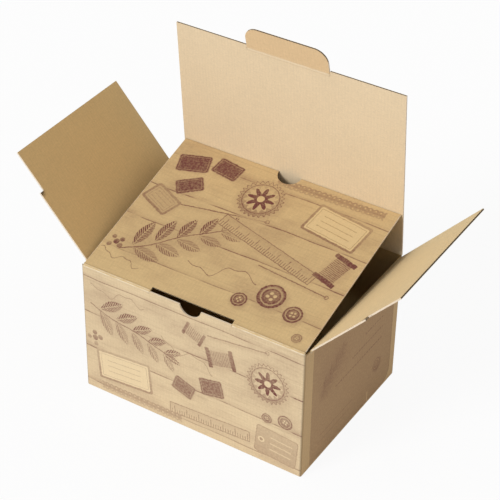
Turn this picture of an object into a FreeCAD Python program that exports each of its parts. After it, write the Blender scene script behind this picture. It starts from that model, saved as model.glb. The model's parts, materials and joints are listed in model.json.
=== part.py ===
import FreeCAD, Part
import math
import os
import Sketcher
from FreeCAD import Rotation, Vector

# A corrugated mailer box, standing on its bottom with all four top flaps open.
# One die-cut sheet of E-flute board is folded into a glued tube with closed bottom flaps.
# The front flap lies back over the opening and leans on the raised lid, and the side flaps stand open.
# The origin is on the floor in the middle of the box: X to the right, Y to the back, Z up.

driving_sizes = {
    "boxWidth": 250.0,
    "boxDepth": 184.0,
    "boardThickness": 1.6,
    "cornerFoldRadius": 2.0,
    "bottomFoldRadius": 1.2,
    # Heights of the creases above the floor: the flaps that close later fold on higher creases.
    "sideCreaseHeight": 148.0,
    "frontCreaseRise": 2.0,
    "lidCreaseRise": 3.6,
    # A crease is a crushed line: the board thins towards it over the reach on both sides.
    "creaseThickness": 0.6,
    "creaseReach": 2.4,
    "creaseGap": 0.6,
    "creaseEndGap": 0.5,
    # The top flaps. A flap's length runs from its crease to its free edge.
    "lidOverlap": 2.5,
    "frontFlapShortfall": 0.5,
    "frontFlapSideGap": 1.9,
    "sideFlapMeetGap": 0.4,
    "sideFlapInset": 9.0,
    "sideFlapStep": 5.3,
    "sideFlapStepStart": 80.0,
    # The tuck tab of the lid, and the slot at the front crease that takes it.
    "tabWidth": 90.0,
    "tabLength": 26.8,
    "tabCornerRadius": 14.0,
    "tabCreaseInset": 3.4,
    "slotEndGap": 0.75,
    "slotDepth": 5.5,
    # Thumb notches: one in the front panel below the slot, one in the front flap's free edge.
    "panelNotchWidth": 24.0,
    "panelNotchDepth": 10.0,
    "flapNotchRadius": 13.0,
    "flapNotchDepth": 12.0,
    # How the open flaps stand, in degrees.
    "lidLean": 5.2,
    "tabLean": 10.0,
    "sideFlapAngle": 48.0,
    "restGap": 0.3,
    # Fluting, shown where it ends at a free edge.
    "flutePitch": 3.45,
    "fluteDepth": 20.0,
    "linerThickness": 0.25,
    "mediumThickness": 0.25,
    # The closed bottom and the glued seam of the tube.
    "bottomFlapLength": 91.6,
    "bottomSeam": 0.8,
    "glueFlapWidth": 30.0,
    "glueFlapSlant": 8.0,
    "glueFlapTopGap": 2.0,
}

doc = FreeCAD.newDocument("mailer_box")
dims = doc.addObject("Spreadsheet::Sheet", "dims")
for row, (alias, size) in enumerate(driving_sizes.items(), start=1):
    dims.set(f"A{row}", alias)
    dims.set(f"B{row}", str(size))
    dims.setAlias(f"B{row}", alias)
doc.recompute()

# Sizes that several pieces share, as expressions on the sheet.
thickness = "dims.boardThickness"
half_width = "dims.boxWidth / 2"
half_depth = "dims.boxDepth / 2"
half_board = "dims.boardThickness / 2"
front_crease = "(dims.sideCreaseHeight + dims.frontCreaseRise)"
lid_crease = "(dims.sideCreaseHeight + dims.lidCreaseRise)"
lid_length = "(dims.boxDepth + dims.lidOverlap)"
front_flap_length = "(dims.boxDepth - dims.frontFlapShortfall)"
front_flap_width = "(dims.boxWidth - 2 * dims.frontFlapSideGap)"
side_flap_length = "((dims.boxWidth - dims.boardThickness - dims.sideFlapMeetGap) / 2)"
side_flap_width = "(dims.boxDepth - 2 * dims.sideFlapInset)"
slot_width = "(dims.tabWidth + 2 * dims.slotEndGap)"
margin = 5.0


def origin_plane(body, role):
    return next(feature for feature in body.Origin.OriginFeatures if feature.Role == role)


def add_sketch(body, name, plane, offset=None):
    sketch = body.newObject("Sketcher::SketchObject", name)
    sketch.AttachmentSupport = [(origin_plane(body, plane), "")]
    sketch.MapMode = "FlatFace"
    if offset:
        sketch.setExpression(".AttachmentOffset.Base.z", offset)
    return sketch


def pin_point(sketch, geometry, point, across, up):
    """Tie one point of a sketch to its place, both distances being expressions."""
    for kind, distance in (("DistanceX", across), ("DistanceY", up)):
        constraint = sketch.addConstraint(Sketcher.Constraint(kind, -1, 1, geometry, point, 1.0))
        sketch.setExpression(f"Constraints[{constraint}]", distance)


def draw_polygon(sketch, corners):
    """Draw a closed outline through corners given as pairs of expressions."""
    first = sketch.GeometryCount
    count = len(corners)
    turns = [2 * math.pi * index / count for index in range(count)]
    start = [Vector(10 * math.cos(turn), 10 * math.sin(turn), 0) for turn in turns]
    for index in range(count):
        sketch.addGeometry(Part.LineSegment(start[index], start[(index + 1) % count]))
    for index in range(count):
        following = first + (index + 1) % count
        sketch.addConstraint(Sketcher.Constraint("Coincident", first + index, 2, following, 1))
    for index, (across, up) in enumerate(corners):
        pin_point(sketch, first + index, 1, across, up)


def draw_rectangle(sketch, left, bottom, right, top):
    draw_polygon(sketch, [(left, bottom), (right, bottom), (right, top), (left, top)])


def draw_circle(sketch, across, up, radius):
    circle = sketch.addGeometry(Part.Circle(Vector(0, 0, 0), Vector(0, 0, 1), 1.0))
    pin_point(sketch, circle, 3, across, up)
    constraint = sketch.addConstraint(Sketcher.Constraint("Radius", circle, 1.0))
    sketch.setExpression(f"Constraints[{constraint}]", radius)


def add_pad(body, name, sketch, length, symmetric=False):
    pad = body.newObject("PartDesign::Pad", name)
    pad.Profile = sketch
    pad.SideType = "Symmetric" if symmetric else "One side"
    pad.setExpression("Length", length)
    return pad


def add_pocket(body, name, sketch, length, symmetric=False, along_normal=False):
    """Cut a sketch out of a body: against the sketch's normal, unless told to go along it."""
    pocket = body.newObject("PartDesign::Pocket", name)
    pocket.Profile = sketch
    pocket.SideType = "Symmetric" if symmetric else "One side"
    pocket.Reversed = along_normal
    pocket.setExpression("Length", length)
    return pocket


def add_mirror(body, name, feature, plane):
    mirror = body.newObject("PartDesign::Mirrored", name)
    mirror.Originals = [feature]
    mirror.MirrorPlane = (origin_plane(body, plane), [""])
    body.Tip = mirror
    return mirror


def add_fillet(body, name, base, is_wanted, radius):
    """Round the edges of a feature that the given test picks."""
    doc.recompute()
    edges = [f"Edge{index}" for index, edge in enumerate(base.Shape.Edges, start=1) if is_wanted(edge)]
    fillet = body.newObject("PartDesign::Fillet", name)
    fillet.Base = (base, edges)
    fillet.setExpression("Radius", radius)
    return fillet


def is_upright(edge):
    box = edge.BoundBox
    return box.XLength + box.YLength < 1e-6


def is_on_floor(edge):
    return abs(edge.BoundBox.ZMax) < 1e-6


def crushed_edge(across, up):
    """Outline of what a crease takes off a panel's edge that points up, centred on the crease line."""
    drop = "(dims.creaseThickness / 2 + dims.creaseGap)"
    half_at_drop = (
        f"(dims.creaseThickness / 2"
        f" + (dims.boardThickness - dims.creaseThickness) / 2 * {drop} / dims.creaseReach)"
    )
    side = f"({half_board} + {margin})"
    return [
        (f"{across} - {side}", f"{up} - dims.creaseReach"),
        (f"{across} - {half_board}", f"{up} - dims.creaseReach"),
        (f"{across} - {half_at_drop}", f"{up} - {drop}"),
        (f"{across} + {half_at_drop}", f"{up} - {drop}"),
        (f"{across} + {half_board}", f"{up} - dims.creaseReach"),
        (f"{across} + {side}", f"{up} - dims.creaseReach"),
        (f"{across} + {side}", f"{up} + {margin}"),
        (f"{across} - {side}", f"{up} + {margin}"),
    ]


def fold_tube(body):
    """The four upright panels around the closed bottom, with each panel's own height."""
    plan = add_sketch(body, "plan", "XY_Plane")
    draw_rectangle(plan, f"-{half_width}", f"-{half_depth}", half_width, half_depth)
    blank = add_pad(body, "outside", plan, lid_crease)
    corners = add_fillet(body, "corner_folds", blank, is_upright, "dims.cornerFoldRadius")
    add_fillet(body, "bottom_folds", corners, is_on_floor, "dims.bottomFoldRadius")

    cavity = add_sketch(body, "cavity_plan", "XY_Plane", f"2 * {thickness}")
    inner_x = f"({half_width} - {thickness})"
    inner_y = f"({half_depth} - {thickness})"
    draw_rectangle(cavity, f"-{inner_x}", f"-{inner_y}", inner_x, inner_y)
    add_pocket(body, "cavity", cavity, lid_crease, along_normal=True)

    heights = add_sketch(body, "panel_heights", "YZ_Plane")
    above = f"{lid_crease} + {margin}"
    draw_polygon(heights, [
        (f"-{half_depth} - {margin}", front_crease),
        (f"-{inner_y}", front_crease),
        (f"-{inner_y}", "dims.sideCreaseHeight"),
        (inner_y, "dims.sideCreaseHeight"),
        (inner_y, above),
        (f"-{half_depth} - {margin}", above),
    ])
    add_pocket(body, "panel_tops", heights, f"dims.boxWidth + {margin}", symmetric=True)


def close_bottom(body):
    """Two outer flaps meet under the middle, glued to two inner flaps that leave a bay between them."""
    inner_x = f"({half_width} - {thickness})"
    inner_y = f"({half_depth} - {thickness})"
    bay_half = f"({half_width} - dims.bottomFlapLength)"
    bay = add_sketch(body, "inner_bay_plan", "XY_Plane", thickness)
    draw_rectangle(bay, f"-{bay_half}", f"-{inner_y}", bay_half, inner_y)
    add_pocket(body, "inner_bay", bay, f"2 * {thickness}", along_normal=True)

    seam = add_sketch(body, "bottom_seam_plan", "XY_Plane")
    draw_rectangle(seam, f"-{inner_x}", "-dims.bottomSeam / 2", inner_x, "dims.bottomSeam / 2")
    add_pocket(body, "bottom_seam", seam, thickness, along_normal=True)


def glue_tube(body):
    """The glue flap of the left panel, stuck inside the back panel."""
    left = f"-({half_width} - {thickness})"
    right = f"({left} + dims.glueFlapWidth)"
    bottom = f"2 * {thickness}"
    top = "(dims.sideCreaseHeight - dims.glueFlapTopGap)"
    inner_face = f"-({half_depth} - {thickness})"
    flap = add_sketch(body, "glue_flap_outline", "XZ_Plane", inner_face)
    draw_polygon(flap, [
        (left, bottom),
        (right, f"{bottom} + dims.glueFlapSlant"),
        (right, f"{top} - dims.glueFlapSlant"),
        (left, top),
    ])
    add_pad(body, "glue_flap", flap, thickness)


def crease_panels(body):
    """Crush the top edge of each panel where a flap folds on it."""
    wall_x = f"({half_width} - {half_board})"
    wall_y = f"({half_depth} - {half_board})"

    side = add_sketch(body, "side_crease_section", "XZ_Plane")
    draw_polygon(side, crushed_edge(wall_x, "dims.sideCreaseHeight"))
    side_length = f"{side_flap_width} + 2 * dims.creaseEndGap"
    side_crease = add_pocket(body, "side_crease", side, side_length, symmetric=True)
    add_mirror(body, "side_creases", side_crease, "YZ_Plane")

    lid = add_sketch(body, "lid_crease_section", "YZ_Plane")
    draw_polygon(lid, crushed_edge(wall_y, lid_crease))
    add_pocket(body, "lid_crease", lid, f"dims.boxWidth + {margin}", symmetric=True)

    slot_half = f"{slot_width} / 2"
    front = add_sketch(body, "front_crease_section", "YZ_Plane", slot_half)
    draw_polygon(front, crushed_edge(f"-{wall_y}", front_crease))
    front_length = f"{front_flap_width} / 2 + dims.creaseEndGap - {slot_half}"
    front_crease_cut = add_pocket(body, "front_crease", front, front_length, along_normal=True)
    add_mirror(body, "front_creases", front_crease_cut, "YZ_Plane")


def notch_front_panel(body):
    """Half-moon for the thumb, an arc through the notch's depth and the ends of its width."""
    radius = "((dims.panelNotchWidth ^ 2 / 4 + dims.panelNotchDepth ^ 2) / (2 * dims.panelNotchDepth))"
    notch = add_sketch(body, "panel_notch_outline", "XZ_Plane")
    draw_circle(notch, "0", f"{front_crease} - dims.panelNotchDepth + {radius}", radius)
    body.Tip = add_pocket(body, "panel_notch", notch, half_depth + f" + {margin}", along_normal=True)


def make_box_body():
    body = doc.addObject("PartDesign::Body", "box_body")
    fold_tube(body)
    close_bottom(body)
    glue_tube(body)
    crease_panels(body)
    notch_front_panel(body)
    return body


def make_flap(name, section_plane, length, width):
    """A flat flap with its crease on the origin line, thinned towards it and rounded along it."""
    body = doc.addObject("PartDesign::Body", name)
    root = "dims.creaseThickness / 2"
    section = add_sketch(body, "board_section", section_plane)
    draw_polygon(section, [
        ("0", f"-{root}"),
        ("dims.creaseReach", f"-{half_board}"),
        (length, f"-{half_board}"),
        (length, half_board),
        ("dims.creaseReach", half_board),
        ("0", root),
    ])
    add_pad(body, "board", section, width, symmetric=True)
    crease = add_sketch(body, "crease_section", section_plane)
    draw_circle(crease, "0", "0", root)
    add_pad(body, "crease", crease, width, symmetric=True)
    return body


def open_flutes(body, across_flap, length, first, last):
    """Channels between the liners, seen where they end at the free edge, from first to last across it."""
    plane, offset, along_normal, row = {
        "X": ("XZ_Plane", f"-{length}", True, "X_Axis"),
        "Y": ("YZ_Plane", length, False, "Y_Axis"),
    }[across_flap]
    liner = f"({half_board} - dims.linerThickness)"
    apex = f"({liner} - dims.mediumThickness)"
    half_base = "(dims.flutePitch / 2 - dims.mediumThickness)"
    upper = f"({first} + dims.flutePitch / 2)"
    lower = f"({first} + dims.flutePitch)"
    ends = add_sketch(body, "flute_ends", plane, offset)
    draw_polygon(ends, [
        (f"{upper} - {half_base}", liner),
        (f"{upper} + {half_base}", liner),
        (upper, f"-{apex}"),
    ])
    draw_polygon(ends, [
        (f"{lower} - {half_base}", f"-{liner}"),
        (f"{lower} + {half_base}", f"-{liner}"),
        (lower, apex),
    ])
    pair = add_pocket(body, "flute_pair", ends, "dims.fluteDepth", along_normal=along_normal)
    flutes = body.newObject("PartDesign::LinearPattern", "flutes")
    flutes.Originals = [pair]
    flutes.Direction = (origin_plane(body, row), [""])
    flutes.Mode = "Spacing"
    flutes.setExpression("Offset", "dims.flutePitch")
    flutes.setExpression("Occurrences", f"floor(({last} - {first}) / dims.flutePitch - 0.5)")
    body.Tip = flutes


def stand(body, axis, angle, across=None, depth=None, height=None):
    """Put a flap's crease in its place and turn the flap about it."""
    body.Placement.Rotation = Rotation(axis, 1.0)
    for coordinate, place in (("x", across), ("y", depth), ("z", height)):
        if place:
            body.setExpression(f".Placement.Base.{coordinate}", place)
    body.setExpression(".Placement.Rotation.Angle", angle)


def make_front_flap():
    """Folded back over the opening until its free edge leans on the lid."""
    body = make_flap("front_flap", "YZ_Plane", front_flap_length, front_flap_width)
    slot = add_sketch(body, "slot_outline", "XY_Plane")
    draw_rectangle(slot, f"-{slot_width} / 2", f"-{margin}", f"{slot_width} / 2", "dims.slotDepth")
    add_pocket(body, "slot", slot, f"{thickness} + {margin}", symmetric=True)
    notch = add_sketch(body, "thumb_notch_outline", "XY_Plane")
    notch_centre = f"{front_flap_length} - dims.flapNotchDepth + dims.flapNotchRadius"
    draw_circle(notch, "0", notch_centre, "dims.flapNotchRadius")
    add_pocket(body, "thumb_notch", notch, f"{thickness} + {margin}", symmetric=True)
    open_flutes(body, "X", front_flap_length, f"-{front_flap_width} / 2", f"{front_flap_width} / 2")

    # The free edge touches the lid where the flap's length spans the distance to the lid's inner face.
    reach = f"(dims.boxDepth - {thickness}) * cos(dims.lidLean * 1deg)"
    rise = "(dims.lidCreaseRise - dims.frontCreaseRise) * sin(dims.lidLean * 1deg)"
    distance = f"({reach} + {rise} - {half_board} - dims.restGap)"
    slope = f"acos(min(1; {distance} / {front_flap_length})) + atan({half_board} / {front_flap_length})"
    angle = f"{slope} + dims.lidLean * 1deg"
    stand(body, Vector(1, 0, 0), angle, depth=f"-({half_depth} - {half_board})", height=front_crease)
    return body


def make_lid():
    """The back flap, raised and leaning a little forward, with a crushed seat for the tuck tab."""
    body = make_flap("lid", "YZ_Plane", lid_length, "dims.boxWidth")
    seat = add_sketch(body, "tab_crease_section", "YZ_Plane")
    crease_line = f"({lid_length} - dims.tabCreaseInset)"
    turned = [(up, across) for across, up in crushed_edge("0", crease_line)]
    draw_polygon(seat, turned)
    add_pocket(body, "tab_crease", seat, "dims.tabWidth + 2 * dims.creaseEndGap", symmetric=True)
    open_flutes(body, "X", lid_length, f"-{half_width}", half_width)
    stand(body, Vector(1, 0, 0), "90deg + dims.lidLean * 1deg",
          depth=f"{half_depth} - {half_board}", height=lid_crease)
    return body


def make_tuck_tab():
    """The rounded tab on the lid's free edge, which tucks into the slot at the front crease."""
    body = make_flap("tuck_tab", "YZ_Plane", "dims.tabLength", "dims.tabWidth")
    doc.recompute()
    free_edge = dims.get("tabLength")

    def is_outer_corner(edge):
        return is_upright(edge) and edge.BoundBox.YMax > free_edge - 1e-6

    add_fillet(body, "round_corners", body.Tip, is_outer_corner, "dims.tabCornerRadius")
    half_tab = "dims.tabWidth / 2"
    open_flutes(body, "X", "dims.tabLength", f"-{half_tab}", half_tab)
    reach = f"({lid_length} - dims.tabCreaseInset)"
    stand(body, Vector(1, 0, 0), "90deg + (dims.lidLean + dims.tabLean) * 1deg",
          depth=f"{half_depth} - {half_board} - {reach} * sin(dims.lidLean * 1deg)",
          height=f"{lid_crease} + {reach} * cos(dims.lidLean * 1deg)")
    return body


def make_side_flap(name, side, angle):
    """A side flap, open outwards, with its front edge stepped in towards the free end."""
    body = make_flap(name, "XZ_Plane", side_flap_length, side_flap_width)
    step = add_sketch(body, "step_outline", "XY_Plane")
    front = f"{side_flap_width} / 2"
    draw_rectangle(step, "dims.sideFlapStepStart", f"-{front} - {margin}",
                   f"{side_flap_length} + {margin}", f"-{front} + dims.sideFlapStep")
    add_pocket(body, "step", step, f"{thickness} + {margin}", symmetric=True)
    open_flutes(body, "Y", side_flap_length, f"(-{front} + dims.sideFlapStep)", front)
    stand(body, Vector(0, 1, 0), angle,
          across=f"{side} * ({half_width} - {half_board})", height="dims.sideCreaseHeight")
    return body


sub_parts = [
    make_box_body(),
    make_front_flap(),
    make_lid(),
    make_tuck_tab(),
    make_side_flap("right_flap", 1, "-dims.sideFlapAngle * 1deg"),
    make_side_flap("left_flap", -1, "dims.sideFlapAngle * 1deg - 180deg"),
]
doc.recompute()

for feature in doc.Objects:
    if {"Invalid", "Error"} & set(feature.State):
        raise RuntimeError(f"{feature.Label} did not build: {feature.State}")
os.makedirs("parts", exist_ok=True)
for body in sub_parts:
    if body.Shape.isNull() or not body.Shape.isValid() or len(body.Shape.Solids) != 1:
        raise RuntimeError(f"{body.Label} is not one valid solid")
for body in sub_parts:
    body.Shape.exportStep(f"parts/{body.Label}.step")
    print(body.Label, round(body.Shape.Volume), "mm3")
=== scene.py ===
import json
import math
import random

import bmesh
import bpy
from mathutils import Matrix, Vector


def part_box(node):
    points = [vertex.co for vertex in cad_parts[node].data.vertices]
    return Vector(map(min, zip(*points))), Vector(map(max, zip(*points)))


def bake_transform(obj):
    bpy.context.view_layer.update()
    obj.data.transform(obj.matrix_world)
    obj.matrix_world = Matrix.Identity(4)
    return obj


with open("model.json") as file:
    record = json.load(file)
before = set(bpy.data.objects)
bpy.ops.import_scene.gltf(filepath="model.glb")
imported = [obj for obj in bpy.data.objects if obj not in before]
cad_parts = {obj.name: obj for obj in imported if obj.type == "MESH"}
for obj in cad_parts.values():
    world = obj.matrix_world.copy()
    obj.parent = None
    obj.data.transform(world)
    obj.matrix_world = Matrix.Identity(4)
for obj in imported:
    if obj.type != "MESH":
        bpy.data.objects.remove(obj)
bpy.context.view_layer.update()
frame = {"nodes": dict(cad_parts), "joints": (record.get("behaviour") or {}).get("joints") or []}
scene = bpy.context.scene
millimetre = 0.001

# The board and where its creases lie. The angles of the open flaps are read off the frame.
board = {
    "thickness": 1.6,
    "flutePitch": 3.45,
    "liner": 0.25,
    "creaseReach": 2.4,
    "creaseThickness": 0.6,
    "slotWidth": 91.5,
    "notchDepth": 14.0,
    "sideStep": 5.3,       # how far the side flaps' front edge steps in, and how far out that starts
    "sideStepStart": 80.0,
}
halfBoard = board["thickness"] / 2
skinDepth = 0.1            # millimetres below a face that still take the face's own colour
hinges = {joint["child"]: Vector(joint["pos_m"]) for joint in frame["joints"]}


def flapSlope(node, axis, side):
    # angle above the horizontal of a flap that runs from its crease towards side on the axis
    low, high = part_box(node)
    corner = high if side > 0 else low
    across = (corner[axis] - hinges[node][axis]) * side / millimetre
    up = (high.z - hinges[node].z) / millimetre
    slope = math.atan2(up, across)
    for attempt in range(6):
        slope = math.atan2(up - halfBoard * math.cos(slope), across - halfBoard * math.sin(slope))
    return slope


# How each flap's own space is turned: its length along X or Y, its face along Z.
flapTurns = {
    "front_flap": (flapSlope("front_flap", 1, 1), 0, 0),
    "lid": (math.pi - flapSlope("lid", 1, -1), 0, 0),
    "tuck_tab": (math.pi - flapSlope("tuck_tab", 1, -1), 0, 0),
    "right_flap": (0, -flapSlope("right_flap", 0, 1), 0),
    "left_flap": (0, flapSlope("left_flap", 0, -1) - math.pi, 0),
}
bodyLow, bodyHigh = (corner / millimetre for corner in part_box("box_body"))
print("frame loaded, flaps stand at", {name: [round(math.degrees(turn)) for turn in turns]
                                      for name, turns in flapTurns.items()})


def placeObject(name, data):
    thing = bpy.data.objects.new(name, data)
    scene.collection.objects.link(thing)
    return thing


# The camera stands where the photograph was taken from.
cameraSetup = {
    "target": (-0.018968, 0.027921, 0.145249),
    "distance": 1.71583,
    "yaw": 31.8731,        # degrees that it looks to the left of straight back
    "pitch": 35.8813,      # degrees that it looks down
    "roll": 0.8571,
    "lens": 125.9095,
    "shift": (0.016424, -0.014650),
}


def placeCamera(setup):
    camera = placeObject("camera", bpy.data.cameras.new("camera"))
    turn = (Matrix.Rotation(math.radians(setup["yaw"]), 4, "Z")
            @ Matrix.Rotation(math.radians(90 - setup["pitch"]), 4, "X")
            @ Matrix.Rotation(math.radians(setup["roll"]), 4, "Z"))
    back = turn @ Vector((0, 0, setup["distance"]))
    camera.matrix_world = Matrix.Translation(Vector(setup["target"]) + back) @ turn
    camera.data.lens = setup["lens"]
    camera.data.sensor_width = 36
    camera.data.shift_x, camera.data.shift_y = setup["shift"]
    camera.data.clip_start, camera.data.clip_end = 0.05, 50
    scene.camera = camera


placeCamera(cameraSetup)
print("camera placed")


# Short ways to add nodes and sums to a node tree.
def addNode(tree, kind, inputs=None, **settings):
    node = tree.nodes.new(kind)
    for name, value in settings.items():
        setattr(node, name, value)
    for name, value in (inputs or {}).items():
        if isinstance(value, bpy.types.NodeSocket):
            tree.links.new(value, node.inputs[name])
        else:
            node.inputs[name].default_value = value
    return node


def useGroup(tree, group, inputs):
    return addNode(tree, "ShaderNodeGroup", inputs, node_tree=group).outputs


def calc(tree, operation, *values, clamp=False):
    inputs = dict(enumerate(values))
    return addNode(tree, "ShaderNodeMath", inputs, operation=operation, use_clamp=clamp).outputs[0]


def calcEach(tree, operation, values):
    total = values[0]
    for value in values[1:]:
        total = calc(tree, operation, total, value)
    return total


def plus(tree, *values):
    return calcEach(tree, "ADD", values)


def times(tree, *values):
    return calcEach(tree, "MULTIPLY", values)


def highest(tree, *values):
    return calcEach(tree, "MAXIMUM", values)


def minus(tree, value, less):
    return calc(tree, "SUBTRACT", value, less)


def absolute(tree, value):
    return calc(tree, "ABSOLUTE", value)


def isAbove(tree, value, limit):
    return calc(tree, "GREATER_THAN", value, limit)


def isBelow(tree, value, limit):
    return calc(tree, "LESS_THAN", value, limit)


def calcVector(tree, operation, *values):
    node = addNode(tree, "ShaderNodeVectorMath", dict(enumerate(values)), operation=operation)
    return node.outputs["Value" if operation in ("LENGTH", "DISTANCE", "DOT_PRODUCT") else "Vector"]


def mixFloat(tree, factor, a, b):
    return addNode(tree, "ShaderNodeMix", {0: factor, 2: a, 3: b}, data_type="FLOAT").outputs[0]


def mixColour(tree, factor, a, b):
    return addNode(tree, "ShaderNodeMix", {0: factor, 6: a, 7: b}, data_type="RGBA").outputs[2]


def splitVector(tree, vector, count=3):
    # by dot products, because a Separate XYZ node keeps room for the outputs that nothing uses
    axes = ((1, 0, 0), (0, 1, 0), (0, 0, 1))
    return [calcVector(tree, "DOT_PRODUCT", vector, axis) for axis in axes[:count]]


def joinVector(tree, x=0.0, y=0.0, z=0.0):
    return addNode(tree, "ShaderNodeCombineXYZ", {0: x, 1: y, 2: z}).outputs[0]


def noise(tree, vector, scale, detail, roughness=0.5):
    inputs = {"Vector": vector, "Scale": scale, "Detail": detail, "Roughness": roughness}
    return addNode(tree, "ShaderNodeTexNoise", inputs).outputs[0]


def stretched(tree, vector, scale):
    return addNode(tree, "ShaderNodeMapping", {"Vector": vector, "Scale": scale}).outputs[0]


def ramp(tree, value, zeroAt, oneAt):
    # smooth between its ends, either of which may be the higher
    inputs = {0: value, 1: zeroAt, 2: oneAt}
    return addNode(tree, "ShaderNodeMapRange", inputs, interpolation_type="SMOOTHSTEP").outputs[0]


def tone(red, green, blue):
    # a colour given in the 0 to 255 numbers of a screen
    return tuple((value / 255) ** 2.2 for value in (red, green, blue)) + (1.0,)


noPlace = (0.0, 0.0, 0.0)
plainWhite = (1.0, 1.0, 1.0, 1.0)


def newGroup(name, inputs, outputs):
    group = bpy.data.node_groups.new(name, "ShaderNodeTree")
    for label, value in inputs.items():
        size = len(value) if isinstance(value, tuple) else 1
        kind = {1: "NodeSocketFloat", 3: "NodeSocketVector", 4: "NodeSocketColor"}[size]
        socket = group.interface.new_socket(name=label, in_out="INPUT", socket_type=kind)
        socket.default_value = value
    for label, kind in outputs.items():
        group.interface.new_socket(name=label, in_out="OUTPUT", socket_type="NodeSocket" + kind)
    source = group.nodes.new("NodeGroupInput").outputs
    target = group.nodes.new("NodeGroupOutput").inputs
    return group, source, target


# Bare kraft liner: cloudy tone, fibres and the faint washboard of the flutes under it, as a bump and as
# painted shade in stripes across the colour.
kraftLook = {
    "cloudSize": 60.0,
    "cloudDepth": 0.05,
    "grainSize": 1.4,
    "grainDepth": 0.13,
    "fibreDepth": 0.16,
    "washboardPaintedShade": 0.006,
    "ridge": 0.045,
}


def makeKraftPaper(look):
    tree, source, target = newGroup("kraftPaper", {"Vector": noPlace, "Colour": plainWhite},
                                    {"Colour": "Color", "Height": "Float"})
    place = source["Vector"]
    clouds = noise(tree, place, 1 / look["cloudSize"], 3)
    grain = noise(tree, place, 1 / look["grainSize"], 3, 0.7)
    longFibres = noise(tree, stretched(tree, place, (1.6, 0.14, 1.0)), 1.0, 2, 0.6)
    crossFibres = noise(tree, stretched(tree, place, (0.16, 1.3, 1.0)), 1.0, 2, 0.6)
    fibres = times(tree, longFibres, crossFibres)
    across = splitVector(tree, place, 1)[0]
    washboard = calc(tree, "SINE", times(tree, across, 2 * math.pi / board["flutePitch"]))
    level = 1.0
    # the washboard wave also darkens and lightens the colour: painted shade of the flute ridges
    for value, middle, depth in ((clouds, 0.5, look["cloudDepth"]), (grain, 0.5, look["grainDepth"]),
                                 (fibres, 0.25, look["fibreDepth"]),
                                 (washboard, 0.0, look["washboardPaintedShade"])):
        level = plus(tree, level, times(tree, minus(tree, value, middle), 2 * depth))
    colour = calcVector(tree, "MULTIPLY", source["Colour"], joinVector(tree, level, level, level))
    tree.links.new(colour, target["Colour"])
    tree.links.new(plus(tree, grain, fibres, times(tree, washboard, look["ridge"])), target["Height"])
    return tree


# Stamps print one simple shape each, in millimetres on the flat sheet.
# Each takes the ink that lies there, and where its shape is it puts its own strength.
inkEdge = 0.6        # millimetres over which a printed edge fades
solid = 1000.0       # a line so wide that it fills the shape


def makeStamp(name, inputs, shape):
    # Soft is how far the edge fades, Shade how much stronger the ink gets with each millimetre up the shape
    shared = {"Ink": 0.0, "Vector": noPlace, "Centre": noPlace, "Turn": noPlace, "Strength": 1.0,
              "Soft": inkEdge, "Shade": 0.0}
    tree, source, target = newGroup(name, {**shared, **inputs}, {"Ink": "Float", "Vector": "Vector"})
    inputs = {"Vector": source["Vector"], "Location": source["Centre"], "Rotation": source["Turn"]}
    local = addNode(tree, "ShaderNodeMapping", inputs, vector_type="TEXTURE").outputs[0]
    distance = shape(tree, source, local)
    cover = calc(tree, "SUBTRACT", 0.5, calc(tree, "DIVIDE", distance, source["Soft"]), clamp=True)
    strength = calc(tree, "MULTIPLY_ADD", splitVector(tree, local)[1], source["Shade"], source["Strength"])
    ink = mixFloat(tree, cover, source["Ink"], strength)
    tree.links.new(ink, target["Ink"])
    # the place goes on through each stamp, so that a long row of them is worked out one by one
    nudge = joinVector(tree, times(tree, ink, 0.00001))
    tree.links.new(calcVector(tree, "ADD", source["Vector"], nudge), target["Vector"])
    return tree


def outlined(tree, distance, line):
    # keeps only a line of that width inside the edge
    return highest(tree, distance, times(tree, plus(tree, distance, line), -1.0))


def blockShape(tree, source, local):
    # a rectangle with round corners, filled or as a line
    beyond = calcVector(tree, "SUBTRACT", calcVector(tree, "ABSOLUTE", local), source["Half Size"])
    x, y = (plus(tree, value, source["Corner"]) for value in splitVector(tree, beyond, 2))
    outside = calcVector(tree, "LENGTH", joinVector(tree, highest(tree, x, 0.0), highest(tree, y, 0.0)))
    inside = calc(tree, "MINIMUM", highest(tree, x, y), 0.0)
    return outlined(tree, minus(tree, plus(tree, outside, inside), source["Corner"]), source["Line"])


def roundShape(tree, source, local):
    # a disc or ring, whose edge can have rays, petals or teeth
    x, y = splitVector(tree, local, 2)
    turned = times(tree, calc(tree, "ARCTAN2", y, x), source["Rays"])
    wave = calc(tree, "MULTIPLY_ADD", calc(tree, "COSINE", turned), -0.5, 0.5)
    edge = minus(tree, source["Radius"], times(tree, wave, source["Ray Depth"]))
    distance = minus(tree, calcVector(tree, "LENGTH", joinVector(tree, x, y)), edge)
    return outlined(tree, distance, source["Line"])


def leafShape(tree, source, local):
    # a pointed leaf with its midrib and side veins left bare
    veinSlope, veinGap = 1.3, 1.6
    x, y = splitVector(tree, local, 2)
    side = absolute(tree, y)
    along = calc(tree, "DIVIDE", x, source["Half Length"])
    width = minus(tree, 1.0, times(tree, along, along))
    edge = minus(tree, side, times(tree, width, source["Half Width"]))
    veins = calc(tree, "PINGPONG", plus(tree, x, times(tree, side, -veinSlope)), veinGap)
    vein = calc(tree, "MINIMUM", minus(tree, veins, 0.15), minus(tree, side, 0.1))
    return highest(tree, edge, minus(tree, source["Vein"], vein))


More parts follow.
